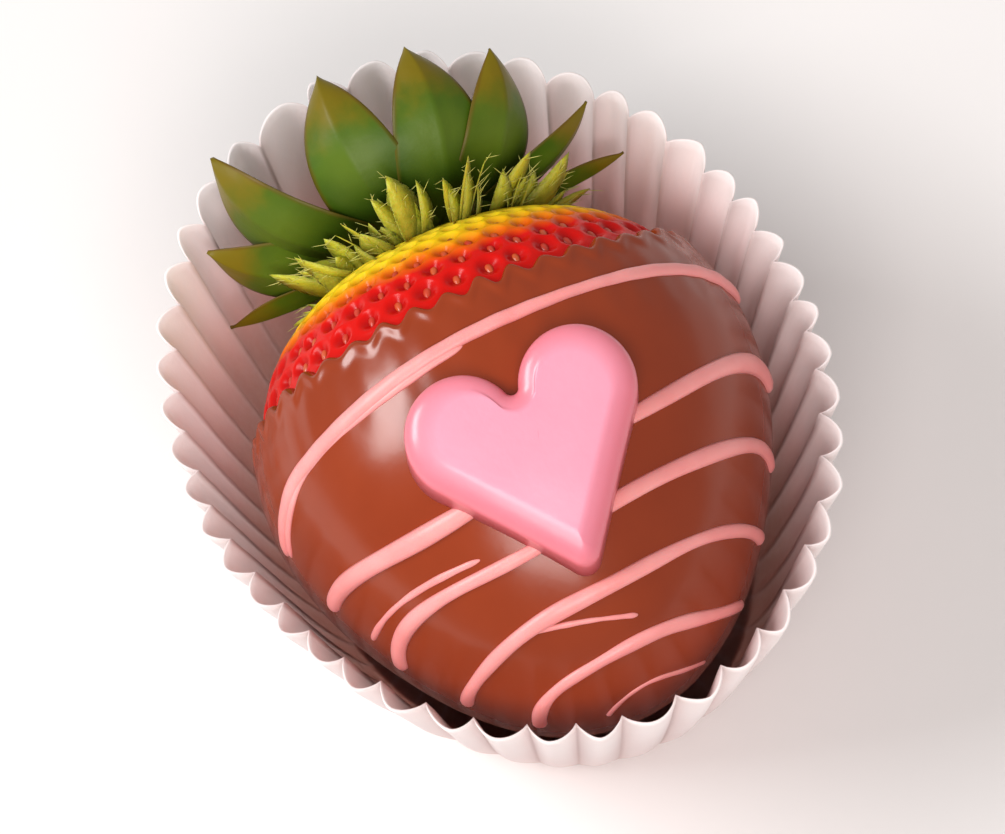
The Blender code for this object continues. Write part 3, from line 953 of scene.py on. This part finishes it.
def heart_outline(inset):
    """The heart's outline that far in from its edge, from the notch down its right side and up its left."""
    notch_y = math.sqrt((LOBE_RADIUS + NOTCH_RADIUS) ** 2 - LOBE_OFFSET**2)
    notch_angle = math.degrees(math.atan2(notch_y, LOBE_OFFSET))
    reach = math.hypot(LOBE_OFFSET, POINT_DROP)
    bearing = math.degrees(math.atan2(POINT_DROP, LOBE_OFFSET))
    side_angle = math.degrees(math.acos((LOBE_RADIUS - POINT_RADIUS) / reach)) + bearing - 180
    notch = arc((0, notch_y), NOTCH_RADIUS + inset, -90, -notch_angle, NOTCH_STEPS)
    lobe = arc((LOBE_OFFSET, 0), LOBE_RADIUS - inset, 180 - notch_angle, side_angle, LOBE_STEPS)
    point = arc((0, -POINT_DROP), POINT_RADIUS - inset, side_angle, -90, POINT_STEPS)
    turn = math.radians(side_angle)
    start = np.array((LOBE_OFFSET, 0)) + (LOBE_RADIUS - inset) * np.array((math.cos(turn), math.sin(turn)))
    side = start + (point[0] - start) * (np.arange(SIDE_STEPS) / SIDE_STEPS)[:, None]
    right = np.concatenate([notch, lobe, side, point])
    lowest = np.array([(0, -POINT_DROP - POINT_RADIUS + inset)])
    return np.concatenate([right, lowest, right[:0:-1] * (-1, 1)])


def coat_height(x, y):
    """The height of the coat's upper side over points of the strawberry's own XY plane."""
    length = np.where(y < 0, TIP_LENGTH, SHOULDER_LENGTH) + COAT_THICKNESS
    way = np.abs(y) / length
    share = np.where(y < 0, taper(TIP_TAPER, way), taper(SHOULDER_TAPER, way))
    return (HALF_DEPTH + COAT_THICKNESS) * np.sqrt(share**2 - (x / (HALF_WIDTH + COAT_THICKNESS)) ** 2)


def build_heart():
    middle = np.array((0, HEART_MIDDLE))
    turn = math.radians(HEART_TURN)
    turned = np.array(((math.cos(turn), math.sin(turn)), (-math.sin(turn), math.cos(turn))))
    slope = math.tan(math.radians(HEART_TILT))

    def place(outline):
        return outline @ turned + HEART_AT

    centre = place(middle[None])[0]
    top = float(coat_height(*centre)) + HEART_LIFT + HEART_THICKNESS

    def under(outline):
        at = place(outline)
        return np.column_stack([at, coat_height(at[:, 0], at[:, 1]) - HEART_SUNK])

    def over(outline, lowered):
        at = place(outline)
        away = np.linalg.norm(at - centre, axis=1) / DOME_RADIUS
        dome = HEART_DOME * (1 - np.minimum(away, 1.2) ** 2)
        soft = [HEART_UNEVEN * noise.noise(Vector((*point, 0.3)) * HEART_BLOTCHES) for point in at]
        return np.column_stack([at, top + (at[:, 1] - centre[1]) * slope - lowered + dome + soft])

    def drawn_in(inset):
        true = min(inset, TRUE_INSET)
        return middle + (heart_outline(true) - middle) * (1 - (inset - true) / HEART_SHRINK)

    edge = heart_outline(0)
    rings = [under(middle + (edge - middle) * share) for share in UNDER_RINGS] + [under(edge)]
    leans = [1] * len(rings)
    for angle in np.radians(np.linspace(0, 90, EDGE_RINGS)):
        outline = drawn_in(HEART_PILLOW * (1 - math.cos(angle)))
        rings.append(over(outline, HEART_ROUND * (1 - math.sin(angle))))
        leans.append(math.cos(angle))
    flat = drawn_in(HEART_PILLOW)
    for share in FACE_RINGS:
        rings.append(over(middle + (flat - middle) * share, 0))
        leans.append(0)
    lean = [*np.repeat(leans, len(edge)), 1, 0]
    return make_piece("pink_candy_heart", closed_rings(rings), heart_finish(), lean=lean)


HEART_PINK = ((0.885, 0.315, 0.43), (0.93, 0.365, 0.485))
# The rounded edge is painted a darker pink, as painted shade.
HEART_EDGE_SHADOW_PINK = (0.77, 0.165, 0.205)


def heart_finish():
    settings = {
        "Roughness": 0.34,
        "Subsurface Weight": 0.2,
        "Subsurface Radius": (1.0, 0.5, 0.5),
        "Subsurface Scale": 1.2 * MM,
        "Coat Weight": 0.35,
        "Coat Roughness": 0.18,
    }
    finish = Finish("candy_pink", settings)
    face = finish.blend(finish.grain(5 * MM), *HEART_PINK)
    # Painted shade on the rounded edge, by how far it leans.
    finish.feed("Base Color", finish.blend(finish.number("lean") * 0.9, face, HEART_EDGE_SHADOW_PINK))
    finish.relief(finish.grain(0.9 * MM), 0.04 * MM, 0.5)
    return finish


heart = build_heart()
lay_down(heart)
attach(heart, "root")
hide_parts("candy_heart")

# ---- Paper case
# One disc of thin white greaseproof paper, pressed between fluted dies into an oval cup. The folds deepen
# from base to rim, and no two are quite alike. Towards its base it is tinted with painted pink bounce light
# and darkened with painted shade, more inside than out; its inner folds are darkened with painted shade
# too.

case_low, case_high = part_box("paper_case")
CASE_HEIGHT = case_high.z - case_low.z
PLEATS = 45
PLEAT_DEPTH = 2.0 * MM  # outer fold to inner fold, at the rim
PLEAT_SHIFT = 0.14  # share of the way to the next fold, at most
PLEAT_LEAN = 0.16
PLEAT_DEPTHS = (0.7, 1.0)
FOLD_GROWTH = 0.7  # how they deepen, as a power of the way up the wall
FOLD_ROUNDING = 0.8
RIM_HALF_WIDTH = case_high.x - PLEAT_DEPTH / 2
RIM_HALF_LENGTH = case_high.y - PLEAT_DEPTH / 2
RIM_INSET = 0.1 * MM  # keeps the deepest folds inside the box
RIM_WAVE = 0.25 * MM
FOLD_DIP = 0.12 * MM  # how far the rim dips halfway in to an inner fold
BASE_HALF_WIDTH = 18.5 * MM
BASE_HALF_LENGTH = 24.3 * MM
BASE_RINGS = (0.4, 0.7, 0.97)  # shares of the way out from its middle
WALL_BULGE = 0.8
WALL_WANDER = 0.22 * MM
WANDERS = 2.5  # how quickly it changes round the wall
WALL_ROWS = 26
ROW_SPREAD = 1.15  # rows are closer together at the base
PAPER = 0.28 * MM
FOLD_POINTS = 7  # from one fold to the next


def oval_radius(half_width, half_length, angle):
    """How far from its middle an oval reaches at that angle, from +X."""
    return half_width * half_length / np.hypot(half_length * np.cos(angle), half_width * np.sin(angle))


def fold_line():
    """Where the folds stand round the case at the base, as angles, how far they lean up to the rim, each
    point's place between its outer fold, 1, and its inner fold, -1, and how deep the folds are there."""
    chance = random.Random(12)
    folds = 2 * PLEATS
    shift = np.array([chance.uniform(-PLEAT_SHIFT, PLEAT_SHIFT) for _ in range(folds)])
    lean = np.array([chance.uniform(-PLEAT_LEAN, PLEAT_LEAN) for _ in range(folds)])
    deep = np.array([chance.uniform(*PLEAT_DEPTHS) for _ in range(folds)])
    angles, leans, sides, depths = [], [], [], []
    for fold in range(folds):
        following = (fold + 1) % folds
        for step in range(FOLD_POINTS):
            way = step / FOLD_POINTS
            angles.append(fold + way + shift[fold] * (1 - way) + shift[following] * way)
            leans.append(lean[fold] * (1 - way) + lean[following] * way)
            lobe = abs(math.cos(math.pi / 2 * (way + fold % 2)))
            sides.append(2 * lobe**FOLD_ROUNDING - 1)
            depths.append(deep[fold] * (1 - way) + deep[following] * way)
    return (np.array(given) for given in (angles, leans, sides, depths))


def build_case():
    places, leans, sides, depths = fold_line()

    def ring(share, inward):
        """The wall that share of the way up, that far in from its outer face."""
        angle = (places + leans * share) * math.pi / PLEATS
        base = oval_radius(BASE_HALF_WIDTH, BASE_HALF_LENGTH, angle)
        rim = oval_radius(RIM_HALF_WIDTH, RIM_HALF_LENGTH, angle)
        middle = base + (rim - base) * share**WALL_BULGE
        around = np.stack([np.cos(angle), np.sin(angle)], axis=-1)
        wander = [WALL_WANDER * share * noise.noise(Vector((*at, share)) * WANDERS) for at in around]
        folded = sides * depths * PLEAT_DEPTH / 2 * share**FOLD_GROWTH
        radius = middle + folded - inward + np.array(wander) - RIM_INSET * share
        trim = RIM_WAVE * (1 + np.sin(angle * 3 + 1)) * share**4 + FOLD_DIP * (1 - sides) * share**6
        height = np.maximum(CASE_HEIGHT * share - trim - PAPER / 3 * share, PAPER if inward else 0)
        return np.column_stack([radius[:, None] * around, height])

    shares = np.linspace(0, 1, WALL_ROWS) ** ROW_SPREAD
    outer = [ring(share, 0) for share in shares]
    lip = [ring(1, PAPER / 2) + (0, 0, PAPER / 3)]
    inner = [ring(share, PAPER) for share in shares[::-1]]
    floor = [inner[-1] * (part, part, 1) for part in BASE_RINGS[::-1]]
    bottom = [outer[0] * (part, part, 1) for part in BASE_RINGS]
    rings = [*bottom, *outer, *lip, *inner, *floor]
    crease = np.tile(((1 - sides) / 2) ** 2, len(rings))
    inside = np.repeat(np.arange(len(rings)) > len(bottom) + len(outer), len(sides))
    numbers = {"crease": [*crease, 0, 0], "inside": [*inside, 0, 1]}
    return make_piece("pleated_case", closed_rings(rings), paper_finish(), **numbers)


PAPER_WHITE = ((0.95, 0.81, 0.79), (0.97, 0.88, 0.86))
# Painted pink bounce light.
PAPER_BOUNCE_PINK = (0.85, 0.38, 0.38)
# Painted shade towards the base.
PAPER_BASE_SHADOW = (0.40, 0.155, 0.12)
# Painted shade in the inner folds.
CREASE_SHADOW = (0.50, 0.27, 0.25)
FIBRE_GREY = (0.70, 0.60, 0.58)
BOUNCE_PINK_BELOW = (11 * MM, 28 * MM)  # heights at which it is pink, and white again
BASE_SHADOW_BELOW = (3 * MM, 21 * MM)
INSIDE_TINT, OUTSIDE_TINT = 0.75, 0.2  # the inside has both


def paper_finish():
    settings = {
        "Roughness": 0.6,
        "Specular IOR Level": 0.3,
        "Subsurface Weight": 0.42,
        "Subsurface Radius": (1.0, 0.8, 0.76),
        "Subsurface Scale": 2.5 * MM,
    }
    finish = Finish("greaseproof_paper", settings)
    height = finish.node("ShaderNodeSeparateXYZ", sockets={0: finish.place}, output="Z")
    # How strongly the painted light and shade show; the inside gets more.
    tint = finish.number("inside") * INSIDE_TINT + OUTSIDE_TINT
    # Painted pink bounce light, fading out up the wall.
    pink = (1 - finish.rise(height, *BOUNCE_PINK_BELOW)) * tint
    # Painted shade towards the base, more inside than out.
    deep = (1 - finish.rise(height, *BASE_SHADOW_BELOW)) * tint
    fibres = finish.grain(0.5 * MM, 5, stretch=(1, 1, 0.5))
    colour = finish.blend(finish.grain(6 * MM, 3), *PAPER_WHITE)
    colour = finish.blend(pink, colour, PAPER_BOUNCE_PINK)
    colour = finish.blend(deep, colour, PAPER_BASE_SHADOW)
    # Painted shade in the inner folds.
    colour = finish.blend(finish.number("crease") * 0.55, colour, CREASE_SHADOW)
    finish.feed("Base Color", finish.blend(fibres * 0.15, colour, FIBRE_GREY))
    finish.relief(fibres, 0.04 * MM, 0.5)
    return finish


case = build_case()
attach(case, "root")
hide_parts("paper_case")

# ---- Table, lights and camera
# A plain pale table top. An oblong soft light shines from the left and a little behind, and a square one,
# about as strong and faintly pink, from the front. The camera looks down on the heart.

TABLE_REACH = 3.0  # from its middle to each side
TABLE_WHITE = ((0.80, 0.785, 0.775), (0.82, 0.805, 0.795))


def build_table():
    finish = Finish("table_top", {"Roughness": 0.6})
    finish.feed("Base Color", finish.blend(finish.grain(40 * MM), *TABLE_WHITE))
    corners = ((-1, -1, 0), (1, -1, 0), (1, 1, 0), (-1, 1, 0))
    return make_piece("table_top", (np.array(corners) * TABLE_REACH, [(0, 1, 2, 3)]), finish)


table = build_table()
table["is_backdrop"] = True

low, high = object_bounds()
middle = (low + high) / 2


def direction(azimuth, elevation):
    """The direction from the strawberry to a light or the camera. Azimuth 0 is its -Y side, in degrees."""
    across, up = math.radians(azimuth), math.radians(elevation)
    return Vector((math.sin(across) * math.cos(up), -math.cos(across) * math.cos(up), math.sin(up)))


def soft_light(name, azimuth, elevation, distance, size, power, colour=(1, 1, 1)):
    """An oblong light that shines at the strawberry from that direction."""
    lamp = bpy.data.lights.new(name, "AREA")
    lamp.shape = "RECTANGLE"
    lamp.size, lamp.size_y = size
    lamp.energy = power
    lamp.color = colour
    made = bpy.data.objects.new(name, lamp)
    bpy.context.scene.collection.objects.link(made)
    back = direction(azimuth, elevation)
    made.location = middle + back * distance
    made.rotation_mode = "QUATERNION"
    made.rotation_quaternion = (-back).to_track_quat("-Z", "Y")


soft_light("key_light", -118, 43, 0.8, (0.52, 0.24), 4.8)
soft_light("front_light", -22, 48, 0.9, (0.45, 0.45), 4.7, (1, 0.92, 0.9))

world = bpy.data.worlds.new("studio")
world.use_nodes = True
world.node_tree.nodes["Background"].inputs["Color"].default_value = (1, 0.98, 0.97, 1)
world.node_tree.nodes["Background"].inputs["Strength"].default_value = 0.41
bpy.context.scene.world = world

CAMERA_AZIMUTH = -19.7
CAMERA_ELEVATION = 64.75
CAMERA_DISTANCE = 0.80
CAMERA_LEAN = 10.9  # degrees that the upright leans to the left in the picture
CAMERA_LENS = 340  # millimetres
CAMERA_SENSOR = 36

camera = bpy.data.objects.new("camera", bpy.data.cameras.new("camera"))
bpy.context.scene.collection.objects.link(camera)
camera.data.lens = CAMERA_LENS
camera.data.sensor_width = CAMERA_SENSOR
camera.data.clip_start = 0.01
rim_middle = Vector((0, 0, case_high.z))
camera.location = rim_middle + direction(CAMERA_AZIMUTH, CAMERA_ELEVATION) * CAMERA_DISTANCE
camera.rotation_mode = "QUATERNION"
aim = (middle - camera.location).to_track_quat("-Z", "Y")
camera.rotation_quaternion = aim @ Quaternion((0, 0, 1), math.radians(-CAMERA_LEAN))
bpy.context.scene.camera = camera
bpy.context.scene.view_settings.view_transform = "Standard"
